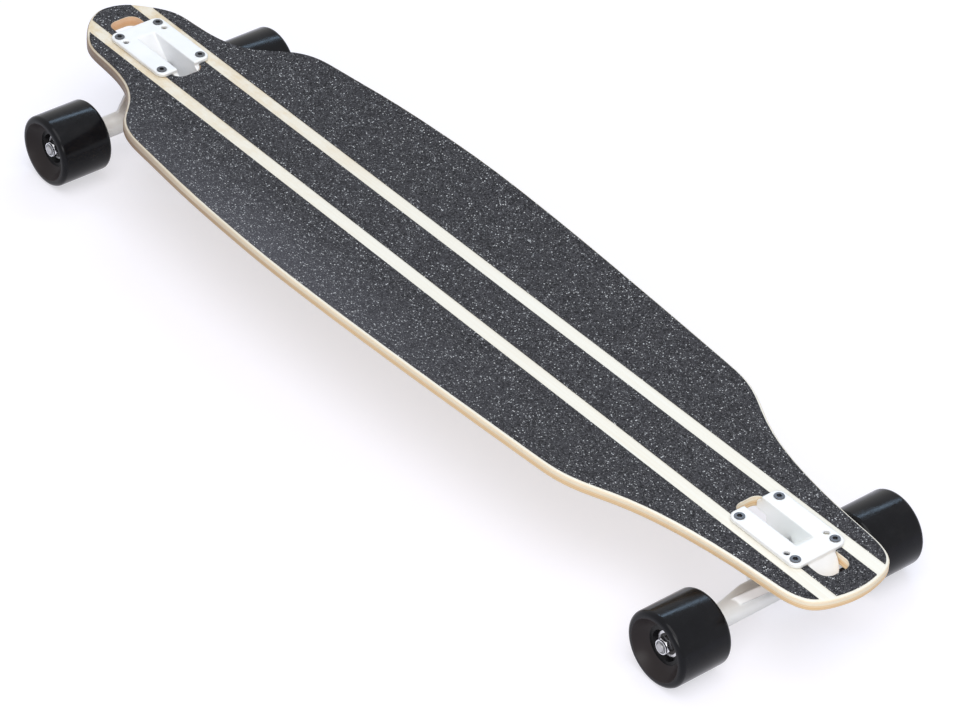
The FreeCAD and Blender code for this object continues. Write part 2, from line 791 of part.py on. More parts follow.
def make_all():
    """Return every node of the board, keyed by name."""
    nodes = {"deck": make_deck()}
    for name, strip in make_grip().items():
        nodes["grip_tape_" + name] = strip
    nodes["mount_screws"] = make_mount_screws()
    nodes["mount_nuts"] = make_mount_nuts()
    trucks = truck_parts()
    wheels = wheel_parts()
    for end_name, end in TRUCK_ENDS:
        for name, shape in trucks.items():
            nodes[end_name + "_truck_" + name] = place_truck(shape, end)
        for side_name, side in WHEEL_SIDES:
            for name, shapes in wheels.items():
                group = [place_truck(place_wheel(shape, side), end) for shape in shapes]
                node = end_name + "_" + side_name + "_wheel_" + name
                nodes[node] = group[0] if len(group) == 1 else Part.makeCompound(group)
    return nodes


def main():
    """Write one file for each node."""
    os.makedirs("parts", exist_ok=True)
    for name, shape in make_all().items():
        shape.exportStep("parts/" + name + ".step")
        print(name, len(shape.Solids), "solids", round(shape.Volume / 1000, 2), "cm3", shape.isValid())


main()
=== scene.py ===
"""The looks of a drop-through longboard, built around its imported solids.

X runs from the rounded nose to the blunt tail, Y across the deck and Z up, in metres.
"""

import json
import logging
import math
from dataclasses import dataclass, field
from enum import Enum

import bpy
from mathutils import Matrix, Vector

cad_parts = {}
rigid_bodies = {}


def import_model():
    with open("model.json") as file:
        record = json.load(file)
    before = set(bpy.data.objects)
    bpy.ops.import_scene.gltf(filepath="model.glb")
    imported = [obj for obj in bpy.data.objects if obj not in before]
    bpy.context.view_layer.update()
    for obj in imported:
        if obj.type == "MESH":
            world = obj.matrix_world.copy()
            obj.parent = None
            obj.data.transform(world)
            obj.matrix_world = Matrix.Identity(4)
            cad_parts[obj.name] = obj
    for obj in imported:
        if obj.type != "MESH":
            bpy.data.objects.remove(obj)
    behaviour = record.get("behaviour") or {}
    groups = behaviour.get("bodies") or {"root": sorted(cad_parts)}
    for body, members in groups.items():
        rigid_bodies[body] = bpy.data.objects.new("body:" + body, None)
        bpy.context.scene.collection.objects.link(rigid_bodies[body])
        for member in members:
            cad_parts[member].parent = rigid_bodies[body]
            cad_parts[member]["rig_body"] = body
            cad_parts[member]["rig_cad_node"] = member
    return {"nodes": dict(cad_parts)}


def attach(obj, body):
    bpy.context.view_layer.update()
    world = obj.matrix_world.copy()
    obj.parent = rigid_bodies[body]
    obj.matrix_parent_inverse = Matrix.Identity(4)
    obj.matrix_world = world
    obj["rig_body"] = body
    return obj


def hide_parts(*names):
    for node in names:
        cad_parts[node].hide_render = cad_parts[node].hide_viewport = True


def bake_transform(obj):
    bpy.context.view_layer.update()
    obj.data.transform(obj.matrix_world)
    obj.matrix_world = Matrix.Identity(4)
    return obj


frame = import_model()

Color = tuple[float, float, float]
Point = tuple[float, float, float]
Span = tuple[float, float]
Profile = list[tuple[float, float]]
Piece = bpy.types.Object
Socket = bpy.types.NodeSocket

LOG = logging.getLogger("longboard")
FULL_TURN = 2 * math.pi
QUARTER_TURN = 0.5 * math.pi
MM = 0.001
AXLE_REACH = 408.0 * MM
AXLE_HEIGHT = 32.5 * MM
WHEEL_RADIUS = 32.5 * MM
WELD = 0.001 * MM
SMOOTH_ANGLE = math.radians(35)
RELIEF_DEPTH = 0.2 * MM
# Most values of a noise lie in this range.
NOISE_RANGE: Span = (0.3, 0.7)
UNIT: Span = (0.0, 1.0)
WHITE: Color = (1.0, 1.0, 1.0)
ORIGIN: Point = (0.0, 0.0, 0.0)


class Way(Enum):
    """A named direction, with its sign along an axis."""

    @property
    def label(self) -> str:
        """The direction's name in the names of pieces."""
        return self.name.lower()


class End(Way):
    """The two ends of the board, with their direction along X."""

    NOSE = -1
    TAIL = 1


class Side(Way):
    """The two sides of the board, with their direction along Y."""

    LEFT = -1
    RIGHT = 1


@dataclass(frozen=True)
class Fade:
    """A change from nothing at one value to its full share at another."""

    start: float
    full: float
    share: float = 1.0


@dataclass(frozen=True)
class Noise:
    """Smooth noise: how fine it is, how many finer layers it has and how strong they are.

    A stretch gives it a fineness of its own along each of the board's axes.
    """

    scale: float = 1.0
    detail: float = 3.0
    rough: float = 0.5
    stretch: Point | None = None


class Graph:
    """The node tree of a material or world, with short calls for the nodes that finishes use."""

    # The sockets of a mix node that hold colours.
    MIX_FIRST = 6
    MIX_SECOND = 7
    MIX_RESULT = 2

    def __init__(self, owner: bpy.types.Material | bpy.types.World, shader: str = "Principled BSDF") -> None:
        """Start from the nodes that a new material or world has.

        Args:
            owner: The material or world.
            shader: The name of its main shader.
        """
        owner.use_nodes = True
        self.nodes = owner.node_tree.nodes
        self.links = owner.node_tree.links
        self.shader = self.nodes[shader]

    def add(self, kind: str, **settings: object) -> bpy.types.Node:
        """Add a node.

        Args:
            kind: The node's type.
            **settings: Properties of the node to set.

        Returns:
            The new node.
        """
        node = self.nodes.new(kind)
        for name, value in settings.items():
            setattr(node, name, value)
        return node

    def put(self, socket: Socket, value: object) -> None:
        """Link a socket to another one, or set it to a constant.

        Args:
            socket: The input to feed.
            value: A socket, a number or a colour.
        """
        if isinstance(value, Socket):
            self.links.new(value, socket)
        elif socket.type == "RGBA":
            socket.default_value = (*value, 1.0)
        else:
            socket.default_value = value

    def step(self, kind: str, *inputs: object, **settings: object) -> Socket:
        """Add a node and feed its first inputs in their order.

        Args:
            kind: The node's type.
            *inputs: Sockets or constants.
            **settings: Properties of the node to set.

        Returns:
            The node's first output.
        """
        node = self.add(kind, **settings)
        for socket, value in zip(node.inputs, inputs):
            self.put(socket, value)
        return node.outputs[0]

    def set(self, **values: object) -> None:
        """Set inputs of the main shader.

        Args:
            **values: Sockets or constants, by the input's name with underscores for its spaces.
        """
        for name, value in values.items():
            self.put(self.shader.inputs[name.replace("_", " ")], value)

    def cover(self, share: Socket, color: Color) -> None:
        """Lay a colour over the one that the main shader has, where the share is above 0."""
        under = self.shader.inputs["Base Color"].links[0].from_socket
        self.set(Base_Color=self.mix(share, under, color))

    def place(self) -> Socket:
        """Return the point on the piece, in the board's own frame."""
        return self.add("ShaderNodeTexCoord").outputs["Object"]

    def axes(self) -> list[Socket]:
        """Split the point on the piece.

        Returns:
            Its X, Y and Z.
        """
        node = self.add("ShaderNodeSeparateXYZ")
        self.put(node.inputs[0], self.place())
        return list(node.outputs)

    def math(self, operation: str, first: object, second: object = 0.0, clamp: bool = False) -> Socket:
        """Return one step of arithmetic, kept from 0 to 1 if clamp is set."""
        return self.step("ShaderNodeMath", first, second, operation=operation, use_clamp=clamp)

    def plus(self, first: object, second: object) -> Socket:
        """Return the sum of two values."""
        return self.math("ADD", first, second)

    def minus(self, first: object, second: object) -> Socket:
        """Return the first value less the second."""
        return self.math("SUBTRACT", first, second)

    def times(self, first: object, second: object) -> Socket:
        """Return the product of two values."""
        return self.math("MULTIPLY", first, second)

    def most(self, first: object, second: object) -> Socket:
        """Return the larger of two values."""
        return self.math("MAXIMUM", first, second)

    def size(self, value: object) -> Socket:
        """Return a value without its sign."""
        return self.math("ABSOLUTE", value)

    def length(self, first: Socket, second: Socket) -> Socket:
        """Return the length of a line with two square legs."""
        return self.math("SQRT", self.plus(self.times(first, first), self.times(second, second)))

    def weigh(self, first: object, second: object, share: float) -> Socket:
        """Return a share of the first value and the rest of the second."""
        return self.plus(self.times(first, share), self.times(second, 1 - share))

    def span(self, value: object, ends: Span, to: Span = UNIT) -> Socket:
        """Return a value mapped from one range to another and kept inside."""
        return self.step("ShaderNodeMapRange", value, *ends, *to, clamp=True)

    def fade(self, value: object, fade: Fade) -> Socket:
        """Return how far a value has come along a fade."""
        return self.span(value, (fade.start, fade.full), (0.0, fade.share))

    def noise(self, noise: Noise) -> Socket:
        """Return smooth noise from 0 to 1.

        Args:
            noise: How fine, layered and stretched it is.

        Returns:
            The noise's socket.
        """
        node = self.add("ShaderNodeTexNoise")
        point = self.place()
        if noise.stretch:
            point = self.step("ShaderNodeMapping", point, ORIGIN, ORIGIN, noise.stretch)
        self.put(node.inputs["Vector"], point)
        node.inputs["Scale"].default_value = noise.scale
        node.inputs["Detail"].default_value = noise.detail
        node.inputs["Roughness"].default_value = noise.rough
        return node.outputs["Fac"]

    def cells(self, scale: float) -> tuple[Socket, list[Socket]]:
        """Divide space into grains.

        Args:
            scale: Grains per metre.

        Returns:
            The distance from the grain's middle in grains, and three random numbers of the grain.
        """
        node = self.add("ShaderNodeTexVoronoi", feature="F1")
        self.put(node.inputs["Vector"], self.place())
        node.inputs["Scale"].default_value = scale
        parts = self.add("ShaderNodeSeparateColor")
        self.put(parts.inputs[0], node.outputs["Color"])
        return node.outputs["Distance"], list(parts.outputs)

    def ramp(self, value: object, ends: Span, first: Color, last: Color) -> Socket:
        """Colour a value.

        Args:
            value: A socket with numbers from 0 to 1.
            ends: Where the first and the last colour lie.
            first: The colour up to the first end.
            last: The colour from the other end on.

        Returns:
            The colour's socket.
        """
        node = self.add("ShaderNodeValToRGB")
        for element, position, color in zip(node.color_ramp.elements, ends, (first, last)):
            element.position = position
            element.color = (*color, 1.0)
        self.put(node.inputs["Fac"], value)
        return node.outputs["Color"]

    def mix(self, share: object, first: object, second: object) -> Socket:
        """Mix two colours.

        Args:
            share: A socket or number, 0 for the first colour and 1 for the second.
            first: A colour or its socket.
            second: A colour or its socket.

        Returns:
            The mixed colour's socket.
        """
        node = self.add("ShaderNodeMix", data_type="RGBA")
        self.put(node.inputs[0], share)
        self.put(node.inputs[self.MIX_FIRST], first)
        self.put(node.inputs[self.MIX_SECOND], second)
        return node.outputs[self.MIX_RESULT]

    def bump(self, height: object, strength: float, depth: float = RELIEF_DEPTH) -> None:
        """Raise the surface's shading by a height.

        Args:
            height: The socket with heights from 0 to 1.
            strength: How much of the bump is used.
            depth: The height that 1 stands for, in metres.
        """
        node = self.add("ShaderNodeBump")
        node.inputs["Strength"].default_value = strength
        node.inputs["Distance"].default_value = depth
        self.put(node.inputs["Height"], height)
        self.put(self.shader.inputs["Normal"], node.outputs["Normal"])


@dataclass(frozen=True)
class Finish:
    """A surface finish. Each kind shades its own material."""

    name: str

    def make(self) -> bpy.types.Material:
        """Make the finish's material when it is first asked for.

        Returns:
            The material.
        """
        material = bpy.data.materials.get(self.name)
        if material is None:
            material = bpy.data.materials.new(self.name)
            self.shade(Graph(material))
        return material

    def shade(self, graph: Graph) -> None:
        """Build the material's nodes."""
        raise NotImplementedError


@dataclass(frozen=True)
class MapleLaminate(Finish):
    """Pressed maple plies that follow the dished deck, under a thin clear coat.

    Towards the nose the face turns warmer, the cutout's edge red, and painted shade darkens the outer edge
    and the rim of the top to brown.
    """

    top: float = 89.9 * MM
    flat_half: float = 45.0 * MM
    dish_radius: float = 340.0 * MM
    ply: float = 1.25 * MM
    slot_half: float = 18.0 * MM
    slot_front: float = -473.0 * MM
    stripe_edge: float = 36.0 * MM
    side_blur: float = 4.0 * MM
    front_blur: float = 2.0 * MM

    cream: Color = (0.97, 0.955, 0.88)
    straw: Color = (0.80, 0.64, 0.41)
    pale_ply: Color = (0.97, 0.88, 0.71)
    pink_ply: Color = (0.96, 0.82, 0.64)
    tan_ply: Color = (0.93, 0.69, 0.43)
    dark_ply: Color = (0.86, 0.57, 0.30)
    # Painted shade: the brown of the outer edge towards the nose.
    aged_ply: Color = (0.25, 0.18, 0.14)
    aged_low_ply: Color = (0.21, 0.14, 0.105)
    slot_ply: Color = (0.92, 0.52, 0.28)
    glue: Color = (0.45, 0.25, 0.11)

    fine: Noise = Noise(detail=5.0, rough=0.6, stretch=(9, 420, 420))
    broad: Noise = Noise(stretch=(2.2, 38, 38))
    figure: Noise = Noise(detail=4.0, rough=0.7, stretch=(55, 85, 85))
    fine_share: float = 0.55
    figure_range: Span = (0.38, 0.64)
    figure_share: Span = (0.45, 1.5)
    face_grain: Fade = Fade(0.42, 0.75, 0.30)
    edge_grain: Fade = Fade(0.35, 0.75, 0.25)
    gloss_range: Span = (0.2, 0.8)
    gloss: Span = (0.42, 0.6)

    buried_plies: Fade = Fade(0.3, 0.6)
    low_plies: Fade = Fade(3.7, 3.9)
    last_ply: Fade = Fade(7.1, 7.3)
    last_share: float = 0.85
    glue_line: Fade = Fade(0.12, 0.0)
    glue_share: float = 0.45

    warming: Fade = Fade(-60.0 * MM, -440.0 * MM, 0.55)
    # Painted shade: the next four fades brown the outer edge and the rim of the top towards the nose.
    rim_aging: Fade = Fade(-200.0 * MM, -400.0 * MM, 0.35)
    first_aging: Fade = Fade(-50.0 * MM, -150.0 * MM, 0.2)
    aging: Fade = Fade(-170.0 * MM, -360.0 * MM, 0.95)
    low_aging: Fade = Fade(0.0, -360.0 * MM, 0.97)
    slot_aging: Fade = Fade(-320.0 * MM, -420.0 * MM, 0.7)

    def layers(self, graph: Graph) -> Socket:
        """Count the plies between a point and the dished top.

        Args:
            graph: The material's nodes.

        Returns:
            The depth, in plies.
        """
        _, y, z = graph.axes()
        across = graph.most(graph.minus(graph.size(y), self.flat_half), 0.0)
        down = graph.minus(self.top + self.dish_radius, z)
        return graph.math("DIVIDE", graph.minus(graph.length(across, down), self.dish_radius), self.ply)

    def straw_share(self, graph: Graph, grain: Socket) -> Socket:
        """Return how much of the darker straw shows in the faces.

        Args:
            graph: The material's nodes.
            grain: The wood's grain, from 0 to 1.

        Returns:
            The share, from 0 to 1.
        """
        figure = graph.span(graph.noise(self.figure), self.figure_range, self.figure_share)
        warm = graph.times(graph.fade(graph.axes()[0], self.warming), figure)
        return graph.math("ADD", graph.fade(grain, self.face_grain), warm, clamp=True)

    def face(self, graph: Graph, share: Socket) -> Socket:
        """Return the colour of the top, with painted shade that browns the strip outside the stripes towards
        the nose.

        Args:
            graph: The material's nodes.
            share: How much straw shows.

        Returns:
            The colour's socket.
        """
        x, y, _ = graph.axes()
        rim = graph.span(graph.size(y), (self.stripe_edge, self.stripe_edge + self.side_blur))
        plain = graph.mix(share, self.cream, self.straw)
        return graph.mix(graph.times(graph.fade(x, self.rim_aging), rim), plain, self.aged_ply)

    def edge(self, graph: Graph, layers: Socket, grain: Socket) -> Socket:
        """Return the colour of the cut plies, on the outer edge and round the cutouts.

        Args:
            graph: The material's nodes.
            layers: The depth under the top, in plies.
            grain: The wood's grain, from 0 to 1.

        Returns:
            The colour's socket.
        """
        x, y, _ = graph.axes()
        odd = graph.size(graph.math("MODULO", graph.math("FLOOR", layers), 2.0))
        upper = graph.mix(odd, self.pale_ply, self.pink_ply)
        lower = graph.mix(odd, self.tan_ply, self.dark_ply)
        low = graph.fade(layers, self.low_plies)
        wood = graph.mix(graph.fade(grain, self.edge_grain), graph.mix(low, upper, lower), self.straw)
        beside = graph.span(graph.size(y), (self.slot_half, self.slot_half + self.side_blur))
        ahead = graph.span(x, (self.slot_front, self.slot_front - self.front_blur))
        outer = graph.most(beside, ahead)
        # Painted shade: the outer edge browns towards the nose, its lower plies from the middle on.
        high_shade = graph.most(graph.fade(x, self.first_aging), graph.fade(x, self.aging))
        high_shade = graph.times(high_shade, graph.minus(1.0, low))
        edge_shade = graph.plus(high_shade, graph.times(graph.fade(x, self.low_aging), low))
        shaded = graph.mix(low, self.aged_ply, self.aged_low_ply)
        wood = graph.mix(graph.times(edge_shade, outer), wood, shaded)
        in_slot = graph.times(graph.fade(x, self.slot_aging), graph.minus(1.0, outer))
        return graph.mix(in_slot, wood, self.slot_ply)

    def shade(self, graph: Graph) -> None:
        """Colour each ply by its depth under the top, with grain along the board.

        Args:
            graph: The material's nodes.
        """
        layers = self.layers(graph)
        fine = graph.noise(self.fine)
        grain = graph.weigh(fine, graph.noise(self.broad), self.fine_share)
        share = self.straw_share(graph, grain)
        buried = graph.fade(layers, self.buried_plies)
        wood = graph.mix(buried, self.face(graph, share), self.edge(graph, layers, grain))
        last = graph.times(graph.fade(layers, self.last_ply), self.last_share)
        wood = graph.mix(last, wood, graph.mix(share, self.straw, self.tan_ply))
        line = graph.times(graph.fade(graph.math("FRACT", layers), self.glue_line), buried)
        wood = graph.mix(graph.times(line, self.glue_share), wood, self.glue)
        graph.set(Base_Color=wood, Specular_IOR_Level=0.3, Coat_Weight=0.10, Coat_Roughness=0.25)
        graph.set(Roughness=graph.span(fine, self.gloss_range, self.gloss))
        graph.bump(fine, strength=0.12)


@dataclass(frozen=True)
class Grit:
    """Grains of one size: how many to a metre, the share that stays dark and how far one fills its cell."""

    scale: float
    rare: float
    size: float


@dataclass(frozen=True)
class GritTape(Finish):
    """Charcoal grip tape with bright grains of grit and a painted sheen along the middle of its left rim."""

    dark: Color = (0.009, 0.009, 0.011)
    light: Color = (0.075, 0.075, 0.085)
    spark: Color = (0.80, 0.82, 0.85)
    # Painted sheen: a paler ground with more bright grains along the middle of the left rim.
    dust: Color = (0.14, 0.14, 0.165)
    worn_middle: float = -130.0 * MM
    worn_along: Fade = Fade(330.0 * MM, 0.0)
    worn_across: Fade = Fade(-45.0 * MM, -112.0 * MM)
    worn_share: float = 0.4
    worn_sparks: float = 0.08

    large: Grit = Grit(640.0, 0.87, 0.44)
    small: Grit = Grit(1150.0, 0.80, 0.45)
    small_share: float = 0.5
    grain_blur: float = 0.01
    core_share: float = 0.6
    glint: Span = (0.3, 1.0)
    clump: Noise = Noise(85.0, 3.0, 0.65)
    clump_range: Span = (0.32, 0.68)
    clump_change: Span = (-0.10, 0.10)

    ground: float = 760.0
    ground_share: float = 0.75
    ground_range: Span = (0.10, 0.95)
    cloud: Noise = Noise(55.0, 4.0, 0.6)
    relief: float = 1500.0
    gloss: Span = (0.92, 0.35)

    def sparks(self, graph: Graph, grit: Grit, clump: Socket) -> Socket:
        """Pick a few grains and return how bright each point of them is.

        Args:
            graph: The material's nodes.
            grit: The grains' size and number.
            clump: How many more or fewer grains are bright here.

        Returns:
            The brightness, from 0 to 1.
        """
        distance, chance = graph.cells(grit.scale)
        picked = graph.span(graph.plus(chance[0], clump), (grit.rare, grit.rare + self.grain_blur))
        dot = graph.span(distance, (grit.size, grit.size * self.core_share))
        return graph.times(graph.times(picked, dot), graph.span(chance[1], UNIT, self.glint))

    def worn(self, graph: Graph) -> Socket:
        """Find where the painted sheen lies: most along the middle of the left rim.

        Args:
            graph: The material's nodes.

        Returns:
            The painted sheen, from 0 to 1.
        """
        x, y, _ = graph.axes()
        away = graph.size(graph.minus(x, self.worn_middle))
        return graph.times(graph.fade(away, self.worn_along), graph.fade(y, self.worn_across))

    def shade(self, graph: Graph) -> None:
        """Scatter two sizes of bright grit over a mottled dark ground.

        Args:
            graph: The material's nodes.
        """
        _, chance = graph.cells(self.ground)
        tone = graph.weigh(chance[2], graph.noise(self.cloud), self.ground_share)
        ground = graph.ramp(tone, self.ground_range, self.dark, self.light)
        # Painted sheen along the left rim.
        worn = self.worn(graph)
        ground = graph.mix(graph.times(worn, self.worn_share), ground, self.dust)
        clump = graph.span(graph.noise(self.clump), self.clump_range, self.clump_change)
        clump = graph.plus(clump, graph.times(worn, self.worn_sparks))
        coarse = self.sparks(graph, self.large, clump)
        fine = graph.times(self.sparks(graph, self.small, clump), self.small_share)
        bright = graph.most(coarse, fine)
        graph.set(Base_Color=graph.mix(bright, ground, self.spark), Specular_IOR_Level=0.3)
        graph.set(Roughness=graph.span(bright, UNIT, self.gloss))
        grain, _ = graph.cells(self.relief)
        graph.bump(graph.minus(1.0, grain), strength=0.45, depth=0.3 * MM)


@dataclass(frozen=True)
class Metal(Finish):
    """Bare or plated metal with a slight drift of tone and fine surface grain."""

    pale: Color
    deep: Color
    smooth: float
    rough: float
    cloud: float
    grain: float
    relief: float
    metallic: float = 1.0
    tone_range: Span = (0.32, 0.68)
    drift_share: float = 0.6

    def shade(self, graph: Graph) -> None:
        """Drift between two tones and roughnesses over a fine grain.

        Args:
            graph: The material's nodes.
        """
        drift = graph.noise(Noise(self.cloud, detail=5.0, rough=0.6))
        grain = graph.noise(Noise(self.grain, detail=3.0, rough=0.6))
        tone = graph.ramp(drift, self.tone_range, self.deep, self.pale)
        graph.set(Base_Color=tone, Metallic=self.metallic)
        both = graph.weigh(drift, grain, self.drift_share)
        graph.set(Roughness=graph.span(both, NOISE_RANGE, (self.smooth, self.rough)))
        graph.bump(grain, self.relief)


@dataclass(frozen=True)
class SatinAlloy(Metal):
    """Cast alloy with an even satin skin."""

    pale: Color = (0.94, 0.945, 0.955)
    deep: Color = (0.88, 0.89, 0.905)
    smooth: float = 0.44
    rough: float = 0.56
    cloud: float = 42.0
    grain: float = 700.0
    relief: float = 0.10
    metallic: float = 0.25


@dataclass(frozen=True)
class PlateAlloy(SatinAlloy):
    """The baseplates' alloy, with painted light in the pocket of the tail's plate: a paler colour and a
    shinier metal there.
    """

    bare: Color = (0.965, 0.985, 0.985)
    bare_metallic: float = 0.6
    pocket_start: float = 300.0 * MM
    pocket_end: float = 446.0 * MM
    pocket_half: float = 9.7 * MM
    pocket_rim: float = 94.2 * MM
    end_blur: float = 1.0 * MM
    side_blur: float = 0.5 * MM
    rim_blur: float = 0.8 * MM

    def shade(self, graph: Graph) -> None:
        """Add the painted light of the pocket to the drift and grain of the metal.

        Args:
            graph: The material's nodes.
        """
        super().shade(graph)
        x, y, z = graph.axes()
        across = graph.span(graph.size(y), (self.pocket_half + self.side_blur, self.pocket_half))
        under = graph.span(z, (self.pocket_rim, self.pocket_rim - self.rim_blur))
        before = graph.span(x, (self.pocket_end, self.pocket_end - self.end_blur))
        behind = graph.span(x, (self.pocket_start, self.pocket_start + self.end_blur))
        pocket = graph.times(graph.times(graph.times(across, under), before), behind)
        # Painted light: the pocket of the tail's plate is paler and shinier than the rest.
        graph.cover(pocket, self.bare)
        graph.set(Metallic=graph.span(pocket, UNIT, (self.metallic, self.bare_metallic)))


@dataclass(frozen=True)
class HangerAlloy(SatinAlloy):
    """The hangers' alloy, with painted shade from the deck on the wings above the bar."""

    # Painted shade: the darker, browner tone of the wings under the deck.
    skin: Color = (0.47, 0.425, 0.42)
    wings: Fade = Fade(41.0 * MM, 47.0 * MM, 0.65)

    def shade(self, graph: Graph) -> None:
        """Add the painted shade of the wings to the drift and grain of the metal."""
        super().shade(graph)
        graph.cover(graph.fade(graph.axes()[2], self.wings), self.skin)


@dataclass(frozen=True)
class Moulded(Finish):
    """Moulded plastic or urethane with faint clouding and a fine skin."""

    pale: Color
    deep: Color
    smooth: float
    rough: float
    shine: float = 0.4
    cloud: float = 45.0
    # On moulded pieces this is the scale of a real fine skin.
    skin: float = 1400.0

    def shade(self, graph: Graph) -> None:
        """Cloud the colour and the gloss.

        Args:
            graph: The material's nodes.
        """
        drift = graph.noise(Noise(self.cloud, detail=5.0, rough=0.6))
        tone = graph.ramp(drift, NOISE_RANGE, self.deep, self.pale)
        graph.set(Base_Color=tone, Specular_IOR_Level=self.shine)
        graph.set(Roughness=graph.span(drift, NOISE_RANGE, (self.smooth, self.rough)))
        graph.bump(graph.noise(Noise(self.skin, detail=2.0)), strength=0.05)


@dataclass(frozen=True)
class WheelUrethane(Finish):
    """Glossy cast urethane, turned on the tread and a little dusty where it rolls."""

    pale: Color = (0.0062, 0.0066, 0.0092)
    deep: Color = (0.0034, 0.0036, 0.0052)
    # On the wheel this is real dust on the tread only.
    dust: Color = (0.020, 0.019, 0.020)
    # Painted reflection: a paler, purple-brown bowl stands in for the bright surroundings that the bowl
    # reflects; its higher roughness is real.
    bowl_tone: Color = (0.026, 0.021, 0.022)
    tread: Fade = Fade(WHEEL_RADIUS - 0.5 * MM, WHEEL_RADIUS - 0.05 * MM)
    bowl: Fade = Fade(27.4 * MM, 26.6 * MM)
    cloud: Noise = Noise(70.0, 6.0, 0.65)
    patches: Noise = Noise(detail=5.0, rough=0.7, stretch=(60, 25, 60))
    dusty: Fade = Fade(0.52, 0.78, 0.35)
    gloss: Span = (0.10, 0.19)
    dust_rough: float = 0.5
    bowl_rough: float = 0.25
    ring_pitch: float = 0.6 * MM
    ring_share: float = 0.25

    def shade(self, graph: Graph) -> None:
        """Turn fine rings about the axle and leave dust on the tread.

        Args:
            graph: The material's nodes.
        """
        x, y, z = graph.axes()
        radius = graph.length(graph.minus(graph.size(x), AXLE_REACH), graph.minus(z, AXLE_HEIGHT))
        cloud = graph.noise(self.cloud)
        worn = graph.times(graph.fade(radius, self.tread), graph.fade(graph.noise(self.patches), self.dusty))
        inside = graph.fade(radius, self.bowl)
        body = graph.mix(inside, graph.ramp(cloud, NOISE_RANGE, self.deep, self.pale), self.bowl_tone)
        graph.set(Base_Color=graph.mix(worn, body, self.dust), Specular_IOR_Level=0.16)
        dull = graph.plus(graph.times(worn, self.dust_rough), graph.times(inside, self.bowl_rough))
        graph.set(Roughness=graph.plus(graph.span(cloud, NOISE_RANGE, self.gloss), dull))
        rings = graph.math("SINE", graph.times(graph.plus(radius, y), FULL_TURN / self.ring_pitch))
        graph.bump(graph.plus(graph.times(rings, self.ring_share), cloud), strength=0.03, depth=0.4 * MM)


PLATE = PlateAlloy("cast_alloy_satin")
HANGER = HangerAlloy("cast_alloy_hanger")
ZINC = Metal(
    "zinc_plated_steel", pale=(0.70, 0.70, 0.69), deep=(0.52, 0.53, 0.56),
    smooth=0.24, rough=0.40, cloud=150.0, grain=1200.0, relief=0.08,
)
AXLE = Metal(
    "ground_axle_steel", pale=(0.50, 0.50, 0.51), deep=(0.34, 0.34, 0.35),
    smooth=0.28, rough=0.42, cloud=220.0, grain=1600.0, relief=0.08,
)
BRIGHT = Metal(
    "bright_lock_nut", pale=(0.86, 0.86, 0.88), deep=(0.70, 0.70, 0.73),
    smooth=0.14, rough=0.26, cloud=260.0, grain=1500.0, relief=0.05,
)
RING = Metal(
    "ground_bearing_ring", pale=(0.80, 0.80, 0.81), deep=(0.66, 0.66, 0.68),
    smooth=0.12, rough=0.24, cloud=300.0, grain=1800.0, relief=0.04,
)
SCREW = Metal(
    "black_oxide_screw", pale=(0.150, 0.150, 0.158), deep=(0.090, 0.090, 0.096),
    smooth=0.32, rough=0.48, cloud=420.0, grain=2200.0, relief=0.10,
)
SHIELD = Metal(
    "dark_bearing_shield", pale=(0.085, 0.080, 0.078), deep=(0.045, 0.043, 0.042),
    smooth=0.25, rough=0.40, cloud=320.0, grain=1600.0, relief=0.06,
)
CORE = Moulded(
    "nylon_wheel_core", pale=(0.008, 0.008, 0.009), deep=(0.005, 0.005, 0.006),
    smooth=0.22, rough=0.34, shine=0.16,
)
CUP = Moulded(
    "pivot_cup_plastic", pale=(0.050, 0.050, 0.052), deep=(0.030, 0.030, 0.032),
    smooth=0.40, rough=0.55,
)
CAGE = Moulded(
    "bearing_cage_nylon", pale=(0.72, 0.69, 0.60), deep=(0.60, 0.57, 0.48),
    smooth=0.40, rough=0.55,
)
BUSHING = Moulded(
    "bushing_urethane", pale=(0.085, 0.085, 0.095), deep=(0.055, 0.055, 0.062),
    smooth=0.28, rough=0.42, shine=0.45, cloud=90.0,
)
INSERT = Moulded(
    "nut_insert_nylon", pale=(0.24, 0.25, 0.27), deep=(0.16, 0.165, 0.18),
    smooth=0.35, rough=0.5, cloud=300.0,
)
MAPLE = MapleLaminate("pressed_maple")
GRIT = GritTape("sparkling_grip_tape")
URETHANE = WheelUrethane("glossy_wheel_urethane")


